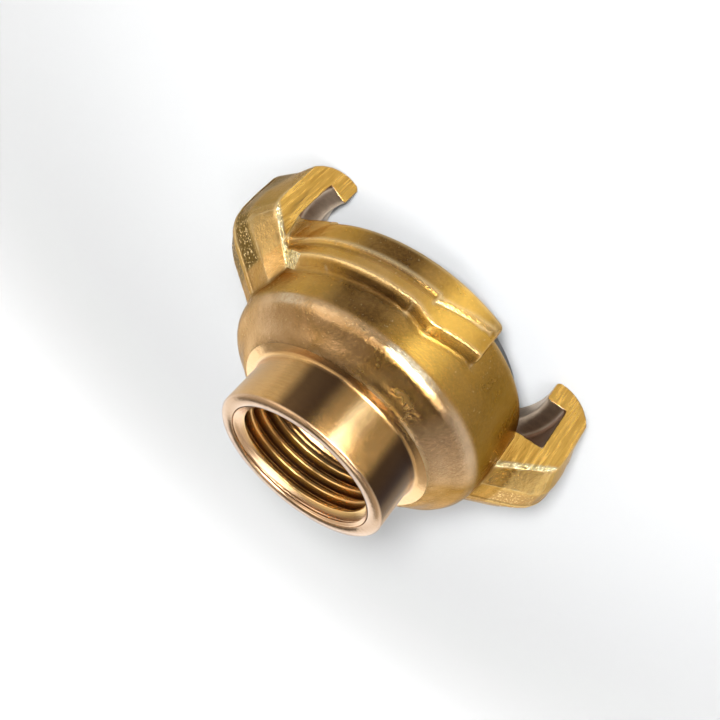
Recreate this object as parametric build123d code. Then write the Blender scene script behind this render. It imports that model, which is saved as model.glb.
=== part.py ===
from build123d import *
import os
from math import cos, degrees, radians, sin

os.makedirs("parts", exist_ok=True)

# Sizes in mm. Depths are measured along the axis from the socket mouth towards the claws.

# Lengths along the axis, one after the other
SOCKET_LENGTH = 7.4
SHOULDER_LENGTH = 4.6
BELL_LENGTH = 10.2
HOOK_GAP = 7.1               # room for the other half's rim behind the noses
NOSE_LENGTH = 3.5

# Socket and waterway
SOCKET_OD = 24.8
SOCKET_ROOT = 0.6            # rounded corner where the socket leaves the shoulder
MOUTH_EDGE = 0.35
MOUTH_COUNTERSINK = 0.15
THREAD_MAJOR = 20.955        # G 1/2
THREAD_BORE_LENGTH = 9.6
PASSAGE_D = 17.2

# Bell
BELL_OD = 38.6
BELL_DRAFT = 0.3             # the bell is this much slimmer at its shoulder
SHOULDER_STEP = 1.8          # flat ring round the socket's root
SHOULDER_ROUND = 0.6
SHOULDER_ROUND_LENGTH = 1.6
RECESS_WALL = 2.1
RECESS_LENGTH = 7.6
FACE_RING = 0.9              # flat ring left round the seal recess

# Flange sectors, each with a ramp at its far end
FLANGE_WIDTH = 2.25          # the rim stands this far out of the bell
RIM_LENGTH = 3.5             # rim band
RIM_STEP = 0.45              # bevel from the rim band down to the waist band
RIM_BEVEL_LENGTH = 0.6
WAIST_LENGTH = 2.0           # waist band, between the bevel and the rear face
RIM_EDGE = 0.4
FACET_ANGLE = 32.0           # slanted end of the waist band beside a claw
REAR_DRAFT = 0.42            # rise of every rear face towards the rim
RAMP_START_ANGLE = 82.6      # from the middle of the claw the sector starts at
RAMP_RISE_ANGLE = 88.0
RAMP_END_ANGLE = 106.4
RAMP_THICKNESS = 6.8
RAMP_SLOPE = 0.34
RAMP_BAND = 2.85             # from the ramp's rear face to its rim band
RAMP_START_LENGTH = 3.8      # S curve from the thin flange up to the ramp
RAMP_END_R = 1.7
WEB_WIDTH = 0.65             # hollow web that runs from the claw side out to the rim
WEB_REAR_SWEEP = 9.0
WEB_FRONT_SWEEP = 17.0

# Claws
CLAW_DISTANCE = 40.0         # across the inner faces of the two noses
CLAW_HALF_ANGLE = 19.5       # each claw covers twice this angle
HOOK_DEPTH = 3.1             # how far the noses reach in over the machined arm
NOSE_EDGE_R = 0.8            # rounded inner edge of the tips
RIB_THICKNESS = 5.7          # claw arm at its mid rib, from the machined inside
RIDGE_THICKNESS = 4.2        # at the ridge between claw back and drafted flank
SIDE_THICKNESS = 3.3         # at the trimmed side
RIB_HALF_WIDTH = 0.45
RIB_STEP = 0.2               # height of the rib over the valley beside it
RIDGE_Y = 4.6
RIDGE_LEAN = 0.8             # the ridge leans this far in towards the tip
RIB_SETBACK = 1.25           # where the underside leaves the bell, behind its shoulder
RIDGE_SETBACK = 2.3
SIDE_SETBACK = 4.0
UNDERSIDE_SLOPE = 0.61
RIB_CORNER = 2.95            # rounding between underside and back
RIDGE_CORNER = 2.2
SIDE_CORNER = 1.4
RIB_FRONT = 3.6              # rounding between back and tip
RIDGE_FRONT = 4.4
SIDE_FRONT = 5.2
FRONT_LENGTH = 3.8

# Seal
SEAL_PROUD = 1.9
SEAL_BORE_D = 20.0
SEAL_EDGE = 0.25
SEAL_LIP = 1.0               # countersink round the seal's bore

# Places that follow from the sizes
SHOULDER_END = SOCKET_LENGTH + SHOULDER_LENGTH
FRONT = SHOULDER_END + BELL_LENGTH
NOSE_REAR = FRONT + HOOK_GAP
TIP = NOSE_REAR + NOSE_LENGTH
FLANGE_THICKNESS = RIM_LENGTH + RIM_BEVEL_LENGTH + WAIST_LENGTH
SOCKET_R = SOCKET_OD / 2
THREAD_R = THREAD_MAJOR / 2
BELL_R = BELL_OD / 2
ROOT_R = BELL_R - 1.0        # added pieces start this deep inside the bell
RECESS_R = BELL_R - RECESS_WALL
RECESS_FLOOR = FRONT - RECESS_LENGTH
RIM_R = BELL_R + FLANGE_WIDTH
WAIST_R = RIM_R - RIM_STEP
RAMP_REAR = FRONT - RAMP_THICKNESS
NOSE_R = CLAW_DISTANCE / 2
ARM_R = NOSE_R + HOOK_DEPTH

# Roundings as (across, along) shares of their size
CORNER_CURVE = ((0.52, 0.45), (0.80, 0.92), (0.95, 1.6), (1.0, 2.6))
FRONT_CURVE = ((0, 1), (0.125, 0.71), (0.31, 0.43), (0.5, 0.24), (0.75, 0.08), (1, 0))


def at(radius, angle, depth):
    """Point at that radius, angle and depth."""
    return Vector(radius * cos(radians(angle)), radius * sin(radians(angle)), depth)


def turned(*points):
    """Turns an outline of (radius, depth) points about the axis."""
    return revolve(Plane.XZ * make_face(Polyline(*points, close=True)), Axis.Z, 360)


def sector(points, start, angle):
    """Turns an outline through part of a circle, from the start angle on."""
    return Rot(Z=start) * revolve(Plane.XZ * make_face(Polyline(*points, close=True)), Axis.Z, angle)


def turned_core():
    """Socket, rounded shoulder and bell, still solid inside."""
    root = SOCKET_ROOT
    step_r = SOCKET_R + SHOULDER_STEP
    neck_r = BELL_R - BELL_DRAFT
    round_start = (neck_r - SHOULDER_ROUND, SHOULDER_END - SHOULDER_ROUND_LENGTH)
    mid = ((step_r + round_start[0]) / 2, (SOCKET_LENGTH + round_start[1]) / 2)
    socket = [
        (0, 0),
        (SOCKET_R - MOUTH_EDGE, 0),
        (SOCKET_R, MOUTH_EDGE),
        (SOCKET_R, SOCKET_LENGTH - root),
        (SOCKET_R + 0.3 * root, SOCKET_LENGTH - 0.3 * root),
        (SOCKET_R + root, SOCKET_LENGTH),
        (step_r, SOCKET_LENGTH),
    ]
    shoulder = Spline(
        (step_r, SOCKET_LENGTH),
        mid,
        round_start,
        (neck_r, SHOULDER_END),
        tangents=[(1, 0.3), (0.1, 1)],
    )
    bell = [
        (neck_r, SHOULDER_END),
        (BELL_R, FRONT - FLANGE_THICKNESS),
        (BELL_R, FRONT - RECESS_WALL / 3),
        (RECESS_R + FACE_RING, FRONT),
        (0, FRONT),
        (0, 0),
    ]
    outline = Wire([*Polyline(*socket).edges(), shoulder, *Polyline(*bell).edges()])
    return revolve(Plane.XZ * make_face(outline), Axis.Z, 360)


def rim_outline():
    """Section of the thin flange, from its root inside the bell to the rim."""
    rear = FRONT - FLANGE_THICKNESS
    return [
        (ROOT_R, rear - REAR_DRAFT * (WAIST_R - ROOT_R)),
        (WAIST_R, rear),
        (WAIST_R, rear + WAIST_LENGTH),
        (RIM_R, FRONT - RIM_LENGTH),
        (RIM_R, FRONT - RIM_EDGE),
        (RIM_R - RIM_EDGE, FRONT),
        (ROOT_R, FRONT),
    ]


def behind(angle, depth, slope, draft):
    """Large block behind a plane through the rim there, rising along the rim by slope."""
    a = radians(angle)
    plane = Plane(
        origin=at(WAIST_R, angle, depth),
        x_dir=(cos(a), sin(a), draft),
        z_dir=(slope * sin(a) - draft * cos(a), -slope * cos(a) - draft * sin(a), 1),
    )
    size = 2 * RIM_R
    return plane * Box(size, size, size, align=(Align.CENTER, Align.CENTER, Align.MAX))


def ramp_start_space():
    """Space behind the S curve in which the thin flange runs into the ramp."""
    back = radians(RAMP_START_ANGLE - RAMP_RISE_ANGLE)
    half = RAMP_START_LENGTH / 2
    along = half * cos(back) + WAIST_R * sin(back)
    out = WAIST_R * cos(back) - WAIST_R - half * sin(back)
    low = (-half, FRONT - FLANGE_THICKNESS)
    high = (half, RAMP_REAR + RAMP_SLOPE * along + REAR_DRAFT * out)
    curve = Spline(low, high, tangents=[(1, 0), (1, RAMP_SLOPE)])
    behind_it = Polyline(high, (half, -FRONT), (-half, -FRONT), low)
    outward = at(1, RAMP_START_ANGLE, REAR_DRAFT)
    plane = Plane(
        origin=at(WAIST_R, RAMP_START_ANGLE, 0) - outward * WAIST_R / 3,
        x_dir=at(1, RAMP_START_ANGLE + 90, 0),
        z_dir=at(1, RAMP_START_ANGLE, 0),
    )
    face = plane * make_face(Wire([curve, *behind_it.edges()]))
    return Solid.extrude(face.face(), outward * WAIST_R / 2)


def ramp():
    """Thick end of a flange sector; its rear face rises towards the gap."""
    outline = [
        (ROOT_R, RAMP_REAR - FLANGE_WIDTH),
        (RIM_R, RAMP_REAR - FLANGE_WIDTH),
        (RIM_R, FRONT - RIM_EDGE),
        (RIM_R - RIM_EDGE, FRONT),
        (ROOT_R, FRONT),
    ]
    body = sector(outline, RAMP_START_ANGLE, RAMP_END_ANGLE - RAMP_START_ANGLE)
    body -= behind(RAMP_RISE_ANGLE, RAMP_REAR, RAMP_SLOPE, REAR_DRAFT)
    end = at(RIM_R, RAMP_END_ANGLE, FRONT - RAMP_THICKNESS / 4)
    body = fillet(body.edges().sort_by_distance(end)[0], RAMP_END_R)
    under_band = behind(RAMP_RISE_ANGLE, RAMP_REAR + RAMP_BAND, RAMP_SLOPE, 0)
    body -= under_band - Pos(0, 0, FRONT / 2) * Cylinder(WAIST_R, 3 * FRONT)
    middle = (RAMP_START_ANGLE + RAMP_END_ANGLE) / 2
    rise = RAMP_SLOPE * RIM_R * sin(radians(middle - RAMP_RISE_ANGLE))
    crease = body.edges().sort_by_distance(at(RIM_R, middle, RAMP_REAR + RAMP_BAND + rise))[0]
    body = chamfer(crease, RIM_BEVEL_LENGTH, 0.9 * RIM_STEP)
    foot = [
        (ROOT_R, RAMP_REAR - FLANGE_WIDTH),
        (WAIST_R, RAMP_REAR - FLANGE_WIDTH),
        (WAIST_R, FRONT - FLANGE_THICKNESS / 2),
        (ROOT_R, FRONT - FLANGE_THICKNESS / 2),
    ]
    sweep = degrees(RAMP_START_LENGTH / 2 / WAIST_R)
    body += sector(foot, RAMP_START_ANGLE - sweep, sweep)
    return body - ramp_start_space()


def web_plan(width, sweep, depth):
    """Plan of the web at one depth, with a hollow curve from claw side to rim."""
    start = CLAW_HALF_ANGLE
    end = start + sweep
    side_end = at(RIM_R + width, start, depth)
    rim_end = at(RIM_R, end, depth)
    middle = at(RIM_R + 0.27 * width, (start + end) / 2, depth)
    leaving = [at(1, start + 130, 0), at(1, end + 90, 0)]
    curve = Spline(side_end, middle, rim_end, tangents=leaving)
    inside = [rim_end, at(ROOT_R, end, depth), at(ROOT_R, start - 2, depth)]
    inside += [at(RIM_R + width, start - 2, depth), side_end]
    return Wire([curve, *Polyline(*inside).edges()])


def web():
    """Hollow fillet in the corner between a claw's side and the rim."""
    rear = web_plan(WEB_WIDTH, WEB_REAR_SWEEP, FRONT - RIM_LENGTH)
    front = web_plan(ARM_R - RIM_R, WEB_FRONT_SWEEP, FRONT)
    return Solid.make_loft([rear, front], ruled=True)


def beside_claw():
    """What a slanted facet trims off the waist band next to a claw."""
    rear = FRONT - FLANGE_THICKNESS
    top = at(RIM_R, CLAW_HALF_ANGLE, rear + WAIST_LENGTH)
    out = at(WAIST_R, FACET_ANGLE, rear)
    low = at(BELL_R, CLAW_HALF_ANGLE, rear)
    plane = Plane(origin=top, x_dir=out - top, z_dir=(low - top).cross(out - top))
    size = FLANGE_THICKNESS
    return plane * Box(2 * size, 2 * size, size, align=(Align.CENTER, Align.CENTER, Align.MIN))


def flange_sector():
    """Flange from one claw to the far end of its ramp."""
    start = CLAW_HALF_ANGLE - 6
    thin = sector(rim_outline(), start, RAMP_START_ANGLE + 2 - start)
    return thin - beside_claw() + ramp() + web()


def claw_section(thickness, setback, corner, front, lean=0):
    """Half section of a claw: underside, rounded corner, back and rounded tip."""
    back_x = ARM_R + thickness
    underside = SHOULDER_END + setback
    corner_x = back_x - corner
    corner_depth = underside + UNDERSIDE_SLOPE * (corner_x - BELL_R)
    root_x = ROOT_R - 4
    points = [(root_x, underside + UNDERSIDE_SLOPE * (root_x - BELL_R)), (corner_x, corner_depth)]
    for across, along in CORNER_CURVE:
        points.append((corner_x + across * corner, corner_depth + along * corner))
    for across, along in FRONT_CURVE:
        points.append((back_x - lean - across * front, TIP - along * FRONT_LENGTH))
    points.append((root_x, TIP))
    return points


def claw():
    """Claw along +X: a roof shaped back, drafted flanks and trimmed sides."""
    rib = claw_section(RIB_THICKNESS, RIB_SETBACK, RIB_CORNER, RIB_FRONT)
    valley = claw_section(RIB_THICKNESS - RIB_STEP, RIB_SETBACK + RIB_STEP, RIB_CORNER, RIB_FRONT)
    ridge = claw_section(RIDGE_THICKNESS, RIDGE_SETBACK, RIDGE_CORNER, RIDGE_FRONT, RIDGE_LEAN)
    side = claw_section(SIDE_THICKNESS, SIDE_SETBACK, SIDE_CORNER, SIDE_FRONT)
    sections = [
        [(x, 0, z) for x, z in rib],
        [(x, RIB_HALF_WIDTH, z) for x, z in rib],
        [(x, RIB_HALF_WIDTH + RIB_STEP, z) for x, z in valley],
        [(x, RIDGE_Y, z) for x, z in ridge],
        [at(r, CLAW_HALF_ANGLE, z) for r, z in side],
    ]
    half = Part()
    for near, far in zip(sections[:-1], sections[1:]):
        wires = [Wire(Polyline(*points, close=True)) for points in (near, far)]
        half += Solid.make_loft(wires, ruled=True)
    return half + mirror(half, Plane.XZ)


def hook_space():
    """What the hooks and the space between the claws take away in front of the flange."""
    edge = NOSE_EDGE_R
    past = TIP + 1
    groove = Polyline((NOSE_R + edge, past), (0, past), (0, FRONT), (ARM_R, FRONT), (ARM_R, NOSE_REAR))
    outline = Wire(
        [
            *groove.edges(),
            Line((ARM_R, NOSE_REAR), (NOSE_R, NOSE_REAR)),
            Line((NOSE_R, NOSE_REAR), (NOSE_R, TIP - edge)),
            CenterArc((NOSE_R + edge, TIP - edge), edge, 180, -90),
            Line((NOSE_R + edge, TIP), (NOSE_R + edge, past)),
        ]
    )
    return revolve(Plane.XZ * make_face(outline), Axis.Z, 360)


def waterway():
    """Countersunk thread bore, passage and seal recess, open at both ends."""
    sink = MOUTH_COUNTERSINK
    passage_r = PASSAGE_D / 2
    run_out = THREAD_BORE_LENGTH + (THREAD_R - passage_r) / 2
    return turned(
        (0, -1),
        (THREAD_R + sink, -1),
        (THREAD_R + sink, 0),
        (THREAD_R, sink),
        (THREAD_R, THREAD_BORE_LENGTH),
        (passage_r, run_out),
        (passage_r, RECESS_FLOOR),
        (RECESS_R, RECESS_FLOOR),
        (RECESS_R, FRONT + 1),
        (0, FRONT + 1),
    )


def coupling_body():
    """The brass forging with both claws and flange sectors, machined inside."""
    one_claw = claw()
    one_sector = flange_sector()
    body = turned_core() + one_claw + Rot(Z=180) * one_claw
    body += one_sector
    body += Rot(Z=180) * one_sector
    body -= hook_space()
    body -= waterway()
    return body


def seal_ring():
    """Rubber form seal, seated in the recess and standing proud of the face."""
    bore = SEAL_BORE_D / 2
    top = FRONT + SEAL_PROUD
    return turned(
        (bore, RECESS_FLOOR),
        (RECESS_R, RECESS_FLOOR),
        (RECESS_R, top - SEAL_EDGE),
        (RECESS_R - SEAL_EDGE, top),
        (bore + SEAL_LIP, top),
        (bore, top - SEAL_LIP),
    )


def stood_on_claws(solid):
    """Turns the part over so that the claw tips stand on the ground, mouth up."""
    return Pos(0, 0, TIP) * Rot(Y=180) * solid


export_step(stood_on_claws(coupling_body()), "parts/coupling_body.step")
export_step(stood_on_claws(seal_ring()), "parts/seal_ring.step")
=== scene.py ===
import bpy
import bmesh
import math
from mathutils import Matrix, Vector


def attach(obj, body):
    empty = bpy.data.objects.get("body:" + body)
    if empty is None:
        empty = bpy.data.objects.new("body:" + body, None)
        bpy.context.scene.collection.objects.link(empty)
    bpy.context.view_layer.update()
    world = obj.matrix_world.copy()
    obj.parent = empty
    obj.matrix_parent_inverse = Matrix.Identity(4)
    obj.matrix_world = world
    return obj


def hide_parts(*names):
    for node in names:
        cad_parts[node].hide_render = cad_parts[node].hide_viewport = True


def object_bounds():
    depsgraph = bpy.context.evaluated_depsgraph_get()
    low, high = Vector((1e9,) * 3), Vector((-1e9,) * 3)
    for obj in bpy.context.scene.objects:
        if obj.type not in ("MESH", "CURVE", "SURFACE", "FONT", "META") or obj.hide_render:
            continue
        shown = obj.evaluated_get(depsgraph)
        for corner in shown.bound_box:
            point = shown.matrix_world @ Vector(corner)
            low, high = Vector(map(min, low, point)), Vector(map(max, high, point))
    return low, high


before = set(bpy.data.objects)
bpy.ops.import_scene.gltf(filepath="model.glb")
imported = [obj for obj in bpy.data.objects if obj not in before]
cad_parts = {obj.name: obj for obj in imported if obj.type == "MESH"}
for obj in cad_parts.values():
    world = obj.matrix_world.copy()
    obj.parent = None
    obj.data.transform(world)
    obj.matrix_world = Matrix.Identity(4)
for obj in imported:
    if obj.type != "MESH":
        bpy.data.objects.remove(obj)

scene = bpy.context.scene
scene.view_settings.view_transform = "Standard"
cadBox = [list(c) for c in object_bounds()]
mm = 0.001
mouthZ = cadBox[1][2]  # the socket's mouth, and depths run down from it

# small helpers for node trees


def newMaterial(name):
    mat = bpy.data.materials.new(name)
    mat.use_nodes = True
    tree = mat.node_tree
    tree.nodes.clear()
    out = tree.nodes.new("ShaderNodeOutputMaterial")
    bsdf = tree.nodes.new("ShaderNodeBsdfPrincipled")
    tree.links.new(bsdf.outputs["BSDF"], out.inputs["Surface"])
    return mat, tree, bsdf


def plug(tree, value, socket):
    if isinstance(value, bpy.types.NodeSocket):
        tree.links.new(value, socket)
    elif isinstance(value, tuple) and socket.type == "RGBA":
        socket.default_value = (*value, 1)
    else:
        socket.default_value = value


def maths(tree, operation, a, b=0.5, clamp=False):
    n = tree.nodes.new("ShaderNodeMath")
    n.operation = operation
    n.use_clamp = clamp
    plug(tree, a, n.inputs[0])
    plug(tree, b, n.inputs[1])
    return n.outputs[0]


def product(tree, first, *others):
    for value in others:
        first = maths(tree, "MULTIPLY", first, value)
    return first


def total(tree, first, *others):
    for value in others:
        first = maths(tree, "ADD", first, value)
    return first


def larger(tree, a, b):
    return maths(tree, "MAXIMUM", a, b)


def without(tree, mask, share):
    return maths(tree, "SUBTRACT", 1.0, product(tree, mask, share))


def rangeOf(tree, value, low, high, toLow=0.0, toHigh=1.0):
    n = tree.nodes.new("ShaderNodeMapRange")
    n.interpolation_type = "SMOOTHSTEP"
    for i, v in enumerate((value, low, high, toLow, toHigh)):
        plug(tree, v, n.inputs[i])
    return n.outputs[0]


def rampOf(tree, value, stops, interpolation="EASE"):
    n = tree.nodes.new("ShaderNodeValToRGB")
    n.color_ramp.interpolation = interpolation
    elements = n.color_ramp.elements
    elements[0].position, elements[1].position = stops[0][0], stops[-1][0]
    for spot, colour in stops[1:-1]:
        elements.new(spot)
    for element, (spot, colour) in zip(elements, stops):
        element.color = (*colour, 1) if isinstance(colour, tuple) else (colour, colour, colour, 1)
    plug(tree, value, n.inputs[0])
    return n.outputs[0]


def mixed(tree, factor, a, b):
    n = tree.nodes.new("ShaderNodeMix")
    n.data_type = "RGBA"
    plug(tree, factor, n.inputs[0])
    plug(tree, a, n.inputs[6])
    plug(tree, b, n.inputs[7])
    return n.outputs[2]


def noise(tree, vector, scale, detail=3.0, roughness=0.5, distortion=0.0):
    n = tree.nodes.new("ShaderNodeTexNoise")
    plug(tree, vector, n.inputs["Vector"])
    plug(tree, scale, n.inputs["Scale"])
    n.inputs["Detail"].default_value = detail
    n.inputs["Roughness"].default_value = roughness
    n.inputs["Distortion"].default_value = distortion
    return n.outputs["Fac"]


def flattened(tree, vector, zScale):
    n = tree.nodes.new("ShaderNodeMapping")
    plug(tree, vector, n.inputs["Vector"])
    n.inputs["Scale"].default_value = (1, 1, zScale)
    return n.outputs[0]


def bump(tree, height, distance, strength, under=None):
    n = tree.nodes.new("ShaderNodeBump")
    n.inputs["Strength"].default_value = strength
    n.inputs["Distance"].default_value = distance
    plug(tree, height, n.inputs["Height"])
    if under is not None:
        plug(tree, under, n.inputs["Normal"])
    return n.outputs[0]


def separated(tree, vector):
    n = tree.nodes.new("ShaderNodeSeparateXYZ")
    plug(tree, vector, n.inputs[0])
    return n.outputs


def objectPlace(tree):
    place = tree.nodes.new("ShaderNodeTexCoord").outputs["Object"]
    x, y, z = separated(tree, place)
    return place, x, y, z


def radiusOf(tree, x, y):
    return maths(tree, "SQRT", total(tree, product(tree, x, x), product(tree, y, y)))


def meshValue(tree, name):
    n = tree.nodes.new("ShaderNodeAttribute")
    n.attribute_name = name
    return n.outputs["Fac"]


def asMetal(tree, bsdf, base, roughness, normal):
    plug(tree, base, bsdf.inputs["Base Color"])
    bsdf.inputs["Metallic"].default_value = 1.0
    plug(tree, roughness, bsdf.inputs["Roughness"])
    plug(tree, normal, bsdf.inputs["Normal"])


def newGroup(name, inputs, outputs):
    group = bpy.data.node_groups.new(name, "ShaderNodeTree")
    for label, kind, value in inputs:
        socket = group.interface.new_socket(name=label, in_out="INPUT", socket_type=kind)
        if value is not None:
            socket.default_value = value
    for label in outputs:
        group.interface.new_socket(name=label, in_out="OUTPUT", socket_type="NodeSocketFloat")
    start = group.nodes.new("NodeGroupInput")
    end = group.nodes.new("NodeGroupOutput")
    return group, start.outputs, end.inputs


def placeGroup(tree, group, **values):
    n = tree.nodes.new("ShaderNodeGroup")
    n.node_tree = group
    for label, value in values.items():
        plug(tree, value, n.inputs[label])
    return n.outputs


# small helpers for meshes and directions


def spun(profile, steps):
    bm = bmesh.new()
    verts = [bm.verts.new((r, 0, z)) for r, z in profile]
    edges = [bm.edges.new(pair) for pair in zip(verts[:-1], verts[1:])]
    turn = {"cent": (0, 0, 0), "axis": (0, 0, 1), "angle": 2 * math.pi, "steps": steps}
    bmesh.ops.spin(bm, geom=verts + edges, use_merge=True, **turn)
    return bm


def objectOf(name, bm, outward):
    bmesh.ops.recalc_face_normals(bm, faces=bm.faces)
    if sum(outward(f) for f in bm.faces) < 0:
        bmesh.ops.reverse_faces(bm, faces=bm.faces)
    for face in bm.faces:
        face.smooth = True
    mesh = bpy.data.meshes.new(name)
    bm.to_mesh(mesh)
    bm.free()
    obj = bpy.data.objects.new(name, mesh)
    scene.collection.objects.link(obj)
    return obj


def direction(azimuth, height):
    a, h = math.radians(azimuth), math.radians(height)
    return Vector((math.cos(a) * math.cos(h), math.sin(a) * math.cos(h), math.sin(h)))


# camera, from the fit to the photograph

cameraFit = {
    "place": (0.010773, -0.098973, 0.071558),
    "right": (-0.724110, -0.378473, -0.576561),
    "up": (0.687681, -0.332549, -0.645372),
    "back": (0.052521, -0.863811, 0.501071),
    "lens": 42.639,
    "sensor": 36,
    "shift": (0.0049, -0.0202),
    "clip": (0.005, 5),
}

cam = bpy.data.cameras.new("camera")
cam.lens = cameraFit["lens"]
cam.sensor_width = cameraFit["sensor"]
cam.shift_x, cam.shift_y = cameraFit["shift"]
cam.clip_start, cam.clip_end = cameraFit["clip"]
camObj = bpy.data.objects.new("camera", cam)
scene.collection.objects.link(camObj)
axes = Matrix([cameraFit["right"], cameraFit["up"], cameraFit["back"]]).transposed()
camObj.matrix_world = Matrix.Translation(cameraFit["place"]) @ axes.to_4x4()
scene.camera = camObj
print("camera placed")

# the forged body: a merged copy of the solid, its faces sorted by finish

bodyLook = {  # millimetres and degrees
    "merge": 0.002,
    "flatAngle": 1.0,
    "sharpAngle": 50,
    "socketDepth": 7.45,
    "annulusR": 14.15,
    "clawHalfAngle": 19.5,
    "clawSideR": 18,
    "facet": {"r": (19, 21.6), "angle": (19.4, 32.5), "z": (14, 16.8), "radial": (0.45, 0.74), "up": (0.6, 0.83)},
    "hookR": 23.25,
    "flangeFace": 10.6,
    "faceRim": (10.7, 18.2),
    "splits": 6,
    "splitLength": 0.5,
    "flangeSplitLength": 0.32,
    "flange": (18, 19.4, 70),
    "bendFrom": 9,
    "bendSpan": 25,
    "spreadRounds": 2,
    "edgeRounds": 2,
    "softRounds": 2,
    "cornerRounds": 24,
    "cornerHeight": (19.6, 22.8),
    "cornerR": 16.5,
}
finishes = ["forged_brass", "turned_brass", "sheared_brass", "milled_brass"]
forgedSlot, turnedSlot, shearedSlot, milledSlot = range(len(finishes))


def finishOf(centre, normal):
    x, y, z = (c / mm for c in centre)
    look = bodyLook
    r = math.hypot(x, y)
    depth = mouthZ / mm - z
    if depth < look["socketDepth"] and r < look["annulusR"]:
        return turnedSlot
    angle = math.degrees(math.atan2(abs(y), abs(x)))
    radial = (normal.x * x + normal.y * y) / max(r, 0.001)
    onSide = abs(angle - look["clawHalfAngle"]) < 0.4 and abs(normal.z) < 0.05
    if onSide and abs(radial) < 0.2 and r > look["clawSideR"]:
        return shearedSlot
    measured = {"r": r, "angle": angle, "z": z, "radial": radial, "up": normal.z}
    if all(low < measured[key] < high for key, (low, high) in look["facet"].items()):
        return shearedSlot
    if z < look["flangeFace"] + 0.05 and r < look["hookR"]:
        return milledSlot
    return forgedSlot


body = bpy.data.objects.new("body_dressed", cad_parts["coupling_body"].data.copy())
scene.collection.objects.link(body)
body.data.materials.clear()
bm = bmesh.new()
bm.from_mesh(body.data)
bmesh.ops.remove_doubles(bm, verts=bm.verts, dist=bodyLook["merge"] * mm)
bmesh.ops.dissolve_limit(
    bm,
    angle_limit=math.radians(bodyLook["flatAngle"]),
    use_dissolve_boundaries=False,
    verts=bm.verts,
    edges=bm.edges,
)
for face in bm.faces:
    face.material_index = finishOf(face.calc_center_median(), face.normal)
bmesh.ops.triangulate(bm, faces=bm.faces)


def forgedFace(face):
    centre = face.calc_center_median() / mm
    top, rimR = bodyLook["faceRim"]
    onRim = face.material_index == milledSlot and centre.z < top and math.hypot(centre.x, centre.y) > rimR
    return face.material_index == forgedSlot or onRim


def roundable(item, alsoSheared):
    return all(
        forgedFace(face) or (alsoSheared and face.material_index == shearedSlot) for face in item.link_faces
    )


def splitLimit(edge):
    x, y, z = (edge.verts[0].co + edge.verts[1].co) / (2 * mm)
    top, innerR, halfAngle = bodyLook["flange"]
    fromMiddle = abs(math.degrees(math.atan2(y, x)) % 180 - 90)
    onFlange = z < top and math.hypot(x, y) > innerR and fromMiddle < halfAngle
    return bodyLook["flangeSplitLength" if onFlange else "splitLength"] * mm


for i in range(bodyLook["splits"]):
    wide = [e for e in bm.edges if e.calc_length() > splitLimit(e) and roundable(e, True)]
    bmesh.ops.subdivide_edges(bm, edges=wide, cuts=1)
    bmesh.ops.triangulate(bm, faces=[f for f in bm.faces if len(f.verts) > 3])
    print("split", i + 1, len(wide), "edges,", len(bm.faces), "faces")

# how sharp an outward edge is, for rubbed edges and painted highlights, and how deep an inward one, for painted
# crease shade, spread a little to the sides

wearAndHighlightLayer = bm.verts.layers.float.new("wearAndHighlight")
creaseShadeLayer = bm.verts.layers.float.new("creaseShade")
for edge in bm.edges:
    if len(edge.link_faces) == 2 and roundable(edge, True):
        bend = math.degrees(edge.calc_face_angle_signed())
        layer = wearAndHighlightLayer if bend > 0 else creaseShadeLayer
        amount = min(1.0, max(0.0, (abs(bend) - bodyLook["bendFrom"]) / bodyLook["bendSpan"]))
        for v in edge.verts:
            v[layer] = max(v[layer], amount)
for i in range(bodyLook["spreadRounds"]):
    for layer in (wearAndHighlightLayer, creaseShadeLayer):
        near = {v: sum(e.other_vert(v)[layer] for e in v.link_edges) / len(v.link_edges) for v in bm.verts}
        for v, value in near.items():
            v[layer] = max(0.5 * (v[layer] + value), value)


def smoothed(verts, rounds):
    for i in range(rounds):
        bmesh.ops.smooth_vert(bm, verts=verts, factor=0.5, use_axis_x=True, use_axis_y=True, use_axis_z=True)


# edges rounded all over, then the forged faces once more, and the bell's corner most

low, high = bodyLook["cornerHeight"]
smoothed([v for v in bm.verts if roundable(v, True)], bodyLook["edgeRounds"])
soft = [v for v in bm.verts if roundable(v, False)]
smoothed(soft, bodyLook["softRounds"])
corner = [v for v in soft if low < v.co.z / mm < high and v.co.xy.length / mm > bodyLook["cornerR"]]
smoothed(corner, bodyLook["cornerRounds"])
for face in bm.faces:
    face.smooth = True
bm.to_mesh(body.data)
bm.free()
body.data.set_sharp_from_angle(angle=math.radians(bodyLook["sharpAngle"]))
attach(body, "root")
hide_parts("coupling_body")
print("body", len(body.data.polygons), "faces")

# the inside thread, turned as a column and pressed into its turns

threadLook = {  # millimetres
    "pitch": 1.814,
    "major": 20.9,
    "minor": 18.631,
    "start": 0.02,
    "end": 8.6,
    "crestShare": 0.16,
    "flankShare": 0.72,
    "rounding": 0.35,
    "chamferR": 10.60,
    "chamferSlope": 1.15,
    "runOut": 1.5,
    "columnR": 10,
    "wallR": 10.46,
    "steps": 240,
    "rings": 150,
}


def threadRadius(depth, angle):
    look = threadLook
    phase = (depth / look["pitch"] - angle / (2 * math.pi)) % 1.0
    away = abs(phase - 0.5) * 2  # 0 at the crest, 1 at the root
    wave = min(1.0, max(0.0, (away - look["crestShare"]) / look["flankShare"]))
    wave = wave * wave * (3 - 2 * wave) * look["rounding"] + wave * (1 - look["rounding"])
    fade = min(1.0, max(0.0, (look["end"] - depth) / look["runOut"]))
    low, high = look["minor"] / 2, look["major"] / 2
    r = high + (low - high) * (1 - wave) * fade
    return min(max(r, look["chamferR"] - look["chamferSlope"] * depth), look["wallR"])


def towardsAxis(face):
    return -face.normal.dot(Vector((*face.calc_center_median().xy, 0)))


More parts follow.
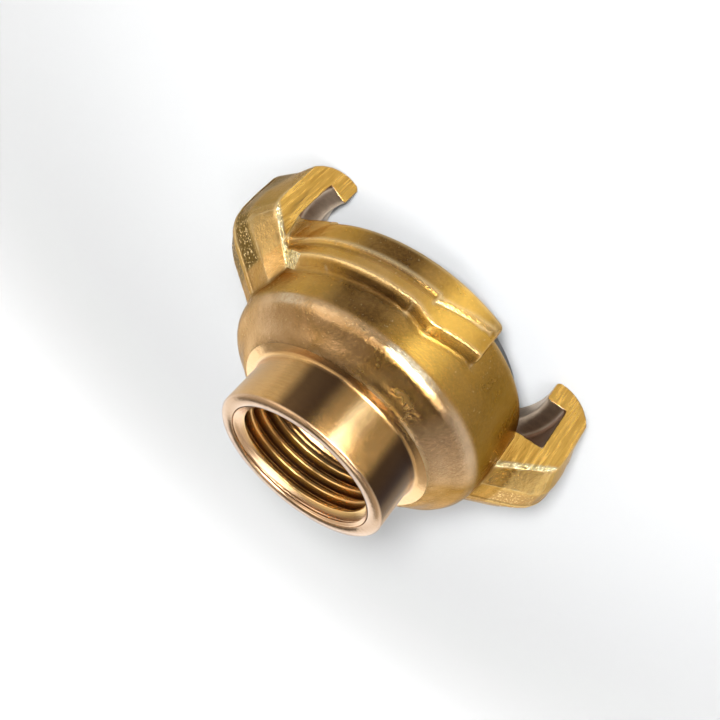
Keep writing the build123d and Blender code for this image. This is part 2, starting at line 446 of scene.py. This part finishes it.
span = threadLook["end"] - threadLook["start"]
depths = [threadLook["start"] + span * i / threadLook["rings"] for i in range(threadLook["rings"] + 1)]
bm = spun([(threadLook["columnR"] * mm, mouthZ - depth * mm) for depth in depths], threadLook["steps"])
for v in bm.verts:
    angle = math.atan2(v.co.y, v.co.x)
    r = threadRadius((mouthZ - v.co.z) / mm, angle) * mm
    v.co.x, v.co.y = r * math.cos(angle), r * math.sin(angle)
thread = objectOf("socket_thread", bm, towardsAxis)
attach(thread, "root")
print("thread", len(thread.data.polygons), "faces")

# effects that several of the brass finishes share

grain, inputs, outputs = newGroup(
    "metalGrain",
    [("Vector", "NodeSocketVector", None), ("Scale", "NodeSocketFloat", 1.0)],
    ["Height", "Pits", "Cloud"],
)
here, scale = inputs["Vector"], inputs["Scale"]
fine = noise(grain, here, product(grain, scale, 5200), 3, 0.6)
coarse = noise(grain, here, product(grain, scale, 1500), 3, 0.55)
cloud = noise(grain, here, product(grain, scale, 260), 4, 0.6, 0.4)
height = total(grain, product(grain, fine, 0.35), product(grain, coarse, 0.65))
plug(grain, height, outputs["Height"])
plug(grain, rangeOf(grain, fine, 0.36, 0.28), outputs["Pits"])
plug(grain, cloud, outputs["Cloud"])

# painted reflections: dark and bright bands by the share of a turn round the axis, from -X against the clock

reflectionBandStops = {
    "DarkReflection": [
        (0.00, 0.20), (0.21, 0.45), (0.25, 0.00), (0.275, 0.45), (0.31, 0.95),
        (0.345, 0.90), (0.375, 0.25), (0.40, 0.05), (0.44, 0.08), (0.52, 0.05),
        (0.61, 0.35), (0.67, 0.85), (0.76, 0.05), (0.88, 0.70), (1.00, 0.20),
    ],
    "Low": [(0.055, 0.0), (0.09, 0.75), (0.125, 1.0), (0.165, 0.95), (0.205, 0.15), (0.23, 0.0)],
    "Warm": [
        (0.00, 0.50), (0.10, 0.90), (0.25, 1.00), (0.33, 0.60), (0.37, 0.75),
        (0.42, 0.45), (0.50, 0.10), (0.62, 0.50), (0.76, 0.90), (1.00, 0.50),
    ],
    "Bright": [
        (0.00, 0.0), (0.205, 0.0), (0.238, 0.8), (0.255, 1.0),
        (0.285, 0.0), (0.37, 0.0), (0.40, 0.25), (0.44, 0.0),
    ],
}

bands, inputs, outputs = newGroup(
    "paintedReflectionBands",
    [("Vector", "NodeSocketVector", None), ("Blur", "NodeSocketFloat", 0.018)],
    list(reflectionBandStops),
)
x, y, z = separated(bands, inputs["Vector"])
turn = total(bands, maths(bands, "DIVIDE", maths(bands, "ARCTAN2", y, x), 2 * math.pi), 0.5)
wander = maths(bands, "SUBTRACT", noise(bands, inputs["Vector"], 170, 3), 0.5)
turn = total(bands, turn, product(bands, wander, inputs["Blur"]))
for label, stops in reflectionBandStops.items():
    plug(bands, rampOf(bands, turn, stops), outputs[label])
print("groups built")

# brass as it left the forging die: matte tan gold, with painted dark reflections, highlights and shade

forgedLook = {  # colours, and the places in metres where a mask starts and ends
    "tan": (0.42, 0.26, 0.11),
    "gold": (0.46, 0.25, 0.042),
    "lit": (0.78, 0.46, 0.090),
    "brown": (0.070, 0.034, 0.010),
    "olive": (0.080, 0.052, 0.020),
    "pink": (0.50, 0.34, 0.20),
    "umber": (0.30, 0.165, 0.048),
    "flank": (0.36, 0.235, 0.085),
    "litFlank": (0.58, 0.39, 0.14),
    "wornAndHighlight": (0.92, 0.72, 0.40),
    "cornerHighlight": (0.97, 0.88, 0.66),
    "rimTint": (0.75, 0.60, 0.42),
    "shoulderZ": (0.0208, 0.0218),
    "clawR": (0.0216, 0.0222),
    "waistR": (0.0203, 0.0207, 0.0211, 0.0213),
    "farClawX": (0.005, -0.005),
    "tipZ": (0.0105, 0.0085),
    "tipY": (0.0050, 0.0042),
    "backY": (0.0005, 0.0010, 0.0034, 0.0046),
    "sparkleZ": (0.006, 0.009),
    "cornerHighlightZ": (0.0212, 0.0216, 0.0223, 0.0227),
    "hollowReach": 0.003,
    "waveDepth": 0.0001,
    "grainDepth": 0.00011,
    "speckleDepth": 0.00005,
}


def between(tree, value, spots):
    rise = rangeOf(tree, value, spots[0], spots[1])
    return product(tree, rise, rangeOf(tree, value, spots[3], spots[2]))


forged, tree, bsdf = newMaterial("forged_brass")
look = forgedLook
place, x, y, z = objectPlace(tree)
side = maths(tree, "ABSOLUTE", y)
radius = radiusOf(tree, x, y)
grainHere = placeGroup(tree, grain, Vector=place)
reflectionBands = placeGroup(tree, bands, Vector=place)
wearAndHighlight = meshValue(tree, "wearAndHighlight")
creaseShade = meshValue(tree, "creaseShade")
speckle = noise(tree, place, 2300, 4, 0.7)
cloudy = rangeOf(tree, grainHere["Cloud"], 0.35, 0.68)
overShoulder = rangeOf(tree, z, *look["shoulderZ"])
onClaw = rangeOf(tree, radius, *look["clawR"])
onWaist = between(tree, radius, look["waistR"])
onBack = product(tree, between(tree, side, look["backY"]), onClaw)
onTip = product(tree, onClaw, rangeOf(tree, z, *look["tipZ"]), rangeOf(tree, side, *look["tipY"]))
farClaw = rangeOf(tree, x, *look["farClawX"])

# the colour of the clean metal, round the bell, over the shoulder and on the claws, with painted reflection tones
# and a painted highlight band round the bell

cloudShift = product(tree, maths(tree, "SUBTRACT", cloudy, 0.5), 0.3)
warmth = maths(tree, "ADD", reflectionBands["Warm"], cloudShift, True)
base = mixed(tree, warmth, look["tan"], look["gold"])
base = mixed(tree, reflectionBands["Bright"], base, look["lit"])
pinkness = larger(tree, maths(tree, "SUBTRACT", 1.0, warmth), reflectionBands["Low"])
base = mixed(tree, overShoulder, base, mixed(tree, pinkness, look["umber"], look["pink"]))
# the far claw's flank painted lighter, as if more light falls on it
flank = mixed(tree, farClaw, look["flank"], look["litFlank"])
base = mixed(tree, product(tree, onClaw, 0.9), base, flank)

# painted dark reflection bands over it, least on the claws and the waist

spread = maths(tree, "SUBTRACT", 0.92, product(tree, overShoulder, 0.6))
spread = product(tree, spread, without(tree, onClaw, 0.95), without(tree, onWaist, 0.75))
darkness = product(tree, total(tree, reflectionBands["DarkReflection"], product(tree, reflectionBands["Low"], 0.25)), spread)
uneven = total(tree, product(tree, cloudy, 0.12), product(tree, speckle, 0.6))
darkness = maths(tree, "ADD", darkness, maths(tree, "SUBTRACT", uneven, 0.33), True)
base = mixed(tree, darkness, base, look["brown"])
streaks = noise(tree, flattened(tree, place, 0.15), 900, 4, 0.7)
streaked = rangeOf(tree, streaks, 0.25, 0.7, 0.95, 0.35)
base = mixed(tree, product(tree, onTip, streaked), base, look["brown"])
backColour = mixed(tree, farClaw, look["olive"], look["tan"])
base = mixed(tree, product(tree, onBack, 0.85), base, backColour)

# painted shade in hollows and creases, lightened outward edges that are partly rubbed brass and partly painted
# highlight, painted glints, and a painted highlight on the bell's corner

# painted shade: darker where the surface is hemmed in, and along inward creases
hollow = tree.nodes.new("ShaderNodeAmbientOcclusion")
hollow.samples = 4
hollow.inputs["Distance"].default_value = look["hollowReach"]
shade = rangeOf(tree, hollow.outputs["AO"], 0.80, 0.35, 0.0, 0.65)
base = mixed(tree, larger(tree, shade, product(tree, creaseShade, 0.8)), base, look["brown"])
# painted glints: bright specks all over, and more on the claws' backs
sparkle = rangeOf(tree, noise(tree, place, 3600, 2, 0.6), 0.56, 0.66)
sparkle = product(tree, sparkle, onBack, rangeOf(tree, z, *look["sparkleZ"], 0.2, 0.8))
glints = product(tree, rangeOf(tree, speckle, 0.62, 0.70), 0.3)
glints = larger(tree, glints, sparkle)
# outward edges and glints lightened: partly rubbed brass, partly painted highlight
base = mixed(tree, larger(tree, glints, product(tree, wearAndHighlight, 0.65)), base, look["wornAndHighlight"])
# a painted highlight along the bell's corner, strongest where the highlight band lies
corner = between(tree, z, look["cornerHighlightZ"])
corner = product(tree, corner, total(tree, product(tree, reflectionBands["Bright"], 0.9), 0.05))
corner = product(tree, corner, rangeOf(tree, speckle, 0.35, 0.6, 0.4, 1.0))
base = mixed(tree, corner, base, look["cornerHighlight"])

rough = rangeOf(tree, grainHere["Cloud"], 0.3, 0.7, 0.20, 0.28)
rough = total(tree, rough, product(tree, larger(tree, creaseShade, shade), 0.35))
rough = maths(tree, "SUBTRACT", rough, product(tree, larger(tree, wearAndHighlight, corner), 0.08))
waves = bump(tree, noise(tree, place, 300, 2), look["waveDepth"], 0.4)
peel = product(tree, grainHere["Height"], without(tree, overShoulder, 0.6))
dents = bump(tree, peel, look["grainDepth"], 0.9, waves)
asMetal(tree, bsdf, base, rough, bump(tree, speckle, look["speckleDepth"], 0.7, dents))
bsdf.inputs["Specular Tint"].default_value = (*look["rimTint"], 1)
print("forged brass")

# brass turned on the lathe: the socket, its root and its mouth, with painted dark reflection bands and a painted
# highlight

turnedLook = {
    "tan": (0.56, 0.35, 0.16),
    "gold": (0.50, 0.27, 0.075),
    "lit": (0.80, 0.56, 0.28),
    "ridge": (0.72, 0.50, 0.22),
    "brown": (0.030, 0.015, 0.008),
    "ring": (0.80, 0.50, 0.22),
    "mouth": (0.44, 0.29, 0.17),
    "pit": (0.12, 0.06, 0.03),
    "ringZ": (0.02575, 0.0254),
    "mouthZ": (0.03235, 0.0326),
    "blur": 0.012,
    "markDepth": 0.00002,
}

turned, tree, bsdf = newMaterial("turned_brass")
look = turnedLook
place, x, y, z = objectPlace(tree)
grainHere = placeGroup(tree, grain, Vector=place)
reflectionBands = placeGroup(tree, bands, Vector=place, Blur=look["blur"])
toolMarks = noise(tree, flattened(tree, place, 26), 420, 5, 0.7)
fineMarks = noise(tree, flattened(tree, place, 60), 560, 4, 0.8)
base = mixed(tree, reflectionBands["Warm"], look["tan"], look["gold"])
# a painted highlight streak, then painted dark reflection bands round the socket
base = mixed(tree, maths(tree, "POWER", reflectionBands["Bright"], 3.0), base, look["lit"])
base = mixed(tree, rangeOf(tree, toolMarks, 0.35, 0.75, 0.0, 0.35), base, look["ridge"])
darkBands = maths(tree, "POWER", larger(tree, reflectionBands["DarkReflection"], reflectionBands["Low"]), 0.75)
base = mixed(tree, darkBands, base, look["brown"])
base = mixed(tree, product(tree, rangeOf(tree, z, *look["ringZ"]), 0.8), base, look["ring"])
base = mixed(tree, rangeOf(tree, z, *look["mouthZ"]), base, look["mouth"])
base = mixed(tree, product(tree, grainHere["Pits"], 0.3), base, look["pit"])
marks = bump(tree, total(tree, toolMarks, fineMarks), look["markDepth"], 0.8)
marks = bump(tree, grainHere["Height"], look["markDepth"], 0.5, marks)
asMetal(tree, bsdf, base, rangeOf(tree, fineMarks, 0.3, 0.7, 0.13, 0.22), marks)
bsdf.inputs["Anisotropic"].default_value = 0.9
bsdf.inputs["Anisotropic Rotation"].default_value = 0.25
around = tree.nodes.new("ShaderNodeTangent")
around.direction_type = "RADIAL"
around.axis = "Z"
plug(tree, around.outputs[0], bsdf.inputs["Tangent"])
print("turned brass")

# brass torn by the trimming die: the sides of the claws and the facets beside them

shearedLook = {
    "dull": (0.42, 0.22, 0.035),
    "bright": (0.78, 0.47, 0.11),
    "groove": (0.22, 0.12, 0.03),
    "torn": [(0.38, (0.30, 0.22, 0.08)), (0.48, (0.75, 0.62, 0.30)), (0.58, (0.98, 0.92, 0.66))],
    "tornSlope": 0.61,
    "tornR": 0.0193,
    "tornZ": (0.0156, 0.0162),
    "tearDepth": 0.00018,
}

sheared, tree, bsdf = newMaterial("sheared_brass")
look = shearedLook
place, x, y, z = objectPlace(tree)
streaks = noise(tree, flattened(tree, place, 0.07), 2300, 4, 0.65, 0.3)
deepStreaks = noise(tree, flattened(tree, place, 0.12), 520, 3, 0.6, 0.5)
sparkle = noise(tree, place, 2600, 4, 0.75)
base = mixed(tree, rangeOf(tree, streaks, 0.3, 0.7), look["dull"], look["bright"])
base = mixed(tree, rangeOf(tree, deepStreaks, 0.62, 0.75, 0.0, 0.7), base, look["groove"])
# along the lower edge, torn metal whose bright speckles are partly painted glints
outward = maths(tree, "SUBTRACT", radiusOf(tree, x, y), look["tornR"])
tornEdge = rangeOf(tree, total(tree, product(tree, outward, look["tornSlope"]), z), *look["tornZ"])
base = mixed(tree, tornEdge, base, rampOf(tree, sparkle, look["torn"], "LINEAR"))
relief = total(tree, streaks, product(tree, sparkle, tornEdge, 1.5))
rough = rangeOf(tree, streaks, 0.3, 0.7, 0.18, 0.3)
asMetal(tree, bsdf, base, rough, bump(tree, relief, look["tearDepth"], 0.9))
print("sheared brass")

# brass milled dull inside the hooks and on the flange face, with the hook arms' inner walls painted dark as shade

milledLook = {
    "dull": (0.50, 0.38, 0.27),
    "bright": (0.70, 0.56, 0.42),
    "arm": (0.20, 0.10, 0.05),
    "pit": (0.12, 0.07, 0.04),
    "armR": (0.0226, 0.0229),
    "armZ": (0.0105, 0.0103),
    "markDepth": 0.00003,
}

milled, tree, bsdf = newMaterial("milled_brass")
look = milledLook
place, x, y, z = objectPlace(tree)
grainHere = placeGroup(tree, grain, Vector=place)
marks = noise(tree, flattened(tree, place, 18), 420, 4, 0.7)
# painted shade on the inner walls of the hook arms
onArm = rangeOf(tree, radiusOf(tree, x, y), *look["armR"])
onArm = product(tree, onArm, rangeOf(tree, z, *look["armZ"]))
base = mixed(tree, rangeOf(tree, marks, 0.3, 0.7), look["dull"], look["bright"])
base = mixed(tree, onArm, base, look["arm"])
base = mixed(tree, product(tree, grainHere["Pits"], 0.4), base, look["pit"])
rough = rangeOf(tree, marks, 0.3, 0.7, 0.34, 0.48)
asMetal(tree, bsdf, base, rough, bump(tree, marks, look["markDepth"], 0.8))
print("milled brass")

# brass of the cut thread: bright crests and darker roots

cutLook = {
    "crest": (0.74, 0.50, 0.21),
    "root": (0.28, 0.155, 0.06),
    "mouth": (0.62, 0.42, 0.26),
    "pit": (0.10, 0.055, 0.02),
    "turnR": (0.00945, 0.0103),
    "mouthZ": (0.0314, 0.0321),
    "roughness": 0.24,
    "markDepth": 0.00002,
}

cut, tree, bsdf = newMaterial("cut_brass")
look = cutLook
place, x, y, z = objectPlace(tree)
grainHere = placeGroup(tree, grain, Vector=place)
base = mixed(tree, rangeOf(tree, radiusOf(tree, x, y), *look["turnR"]), look["crest"], look["root"])
base = mixed(tree, rangeOf(tree, z, *look["mouthZ"]), base, look["mouth"])
base = mixed(tree, product(tree, grainHere["Pits"], 0.4), base, look["pit"])
scratches = noise(tree, flattened(tree, place, 30), 300, 4, 0.7)
asMetal(tree, bsdf, base, look["roughness"], bump(tree, scratches, look["markDepth"], 0.7))
print("cut brass")

for name in finishes:
    body.data.materials.append(bpy.data.materials[name])
thread.data.materials.append(cut)

# seal rubber

rubberLook = {
    "clean": (0.017, 0.017, 0.018),
    "dusty": (0.045, 0.044, 0.042),
    "roughness": (0.48, 0.66),
    "grainScale": 0.7,
    "grainDepth": 0.00004,
}

rubber, tree, bsdf = newMaterial("seal_rubber")
look = rubberLook
place, x, y, z = objectPlace(tree)
grainHere = placeGroup(tree, grain, Vector=place, Scale=look["grainScale"])
dust = rangeOf(tree, grainHere["Cloud"], 0.45, 0.75)
plug(tree, mixed(tree, dust, look["clean"], look["dusty"]), bsdf.inputs["Base Color"])
plug(tree, rangeOf(tree, grainHere["Cloud"], 0.3, 0.7, *look["roughness"]), bsdf.inputs["Roughness"])
plug(tree, bump(tree, grainHere["Height"], look["grainDepth"], 0.5), bsdf.inputs["Normal"])
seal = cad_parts["seal_ring"]
seal.data.materials.clear()
seal.data.materials.append(rubber)
print("seal rubber")

# floor: a wide pale bowl, which shows white to the camera away from the coupling

floorLook = {  # metres
    "bowl": [(0, 0), (0.5, 0), (1.1, 0), (1.22, 0.02), (1.32, 0.08), (1.38, 0.18), (1.42, 0.40), (1.45, 0.75)],
    "steps": 96,
    "colour": (0.240, 0.245, 0.25),
    "roughness": 0.9,
    "liftFrom": 0.06,
    "liftTo": 0.30,
    "nearLift": 0.06,
    "farLift": 0.95,
}

bm = spun(floorLook["bowl"], floorLook["steps"])
bmesh.ops.remove_doubles(bm, verts=bm.verts, dist=mm)
floor = objectOf("floor", bm, lambda face: face.normal.z)
floorMat, tree, bsdf = newMaterial("floor_white")
look = floorLook
bsdf.inputs["Base Color"].default_value = (*look["colour"], 1)
bsdf.inputs["Roughness"].default_value = look["roughness"]
bsdf.inputs["Specular IOR Level"].default_value = 0
bsdf.inputs["Emission Color"].default_value = (1, 1, 1, 1)
path = tree.nodes.new("ShaderNodeLightPath").outputs
seen = larger(tree, path["Is Camera Ray"], path["Is Glossy Ray"])
seen = larger(tree, seen, path["Is Transmission Ray"])
away = tree.nodes.new("ShaderNodeVectorMath")
away.operation = "LENGTH"
place, x, y, z = objectPlace(tree)
tree.links.new(place, away.inputs[0])
lift = rangeOf(tree, away.outputs["Value"], look["liftFrom"], look["liftTo"], look["nearLift"], look["farLift"])
plug(tree, product(tree, seen, lift), bsdf.inputs["Emission Strength"])
floor.data.materials.append(floorMat)

# lamps aimed at the coupling's middle: azimuth, height, distance, size, watts, colour

lampAim = Vector((0, 0, 0.018))
lamps = {
    "keyLamp": (-103, 43, 0.40, (0.27, 0.060), 2.5, (1, 1, 1)),
    "topLamp": (125, 70, 0.40, (0.14, 0.14), 0.3, (1, 1, 1)),
    "sideLamp": (-27, 36, 0.80, (0.60, 0.60), 2.0, (1.0, 0.96, 0.90)),
    "frontLamp": (-79, 28, 0.128, (0.016, 0.016), 44.0, (1, 1, 1)),
}

for name, (azimuth, height, distance, size, watts, colour) in lamps.items():
    lamp = bpy.data.lights.new(name, "AREA")
    lamp.shape = "RECTANGLE"
    lamp.size, lamp.size_y = size
    lamp.energy = watts
    lamp.color = colour
    lampObj = bpy.data.objects.new(name, lamp)
    scene.collection.objects.link(lampObj)
    out = direction(azimuth, height)
    lampObj.location = out * distance + lampAim
    lampObj.rotation_mode = "QUATERNION"
    lampObj.rotation_quaternion = (-out).to_track_quat("-Z", "Y")

# the front lamp casts the soft shadow: no reflection, and as strong far away as near

front = bpy.data.objects["frontLamp"]
front.visible_glossy = False
front.data.use_nodes = True
tree = front.data.node_tree
falloff = tree.nodes.new("ShaderNodeLightFalloff")
falloff.inputs["Strength"].default_value = 1.0
tree.links.new(falloff.outputs["Constant"], tree.nodes["Emission"].inputs["Strength"])

# world: a dim warm room with two bright washes

roomLook = {  # each wash: azimuth, height, and the cosines where it starts and is full
    "colour": (0.16, 0.14, 0.115),
    "glow": (0.95, 0.86, 0.74),
    "washes": [(12, 35, 0.45, 0.95), (155, 12, 0.55, 0.95)],
}

world = bpy.data.worlds.new("studio")
scene.world = world
world.use_nodes = True
tree = world.node_tree
tree.nodes.clear()
out = tree.nodes.new("ShaderNodeOutputWorld")
sky = tree.nodes.new("ShaderNodeTexCoord").outputs["Generated"]
washes = []
for azimuth, height, low, high in roomLook["washes"]:
    towards = tree.nodes.new("ShaderNodeVectorMath")
    towards.operation = "DOT_PRODUCT"
    tree.links.new(sky, towards.inputs[0])
    towards.inputs[1].default_value = direction(azimuth, height)
    washes.append(rangeOf(tree, towards.outputs["Value"], low, high))
room = tree.nodes.new("ShaderNodeBackground")
wash = larger(tree, *washes)
plug(tree, mixed(tree, wash, roomLook["colour"], roomLook["glow"]), room.inputs["Color"])
room.inputs["Strength"].default_value = 1.0
tree.links.new(room.outputs[0], out.inputs["Surface"])
print("stage and lamps")
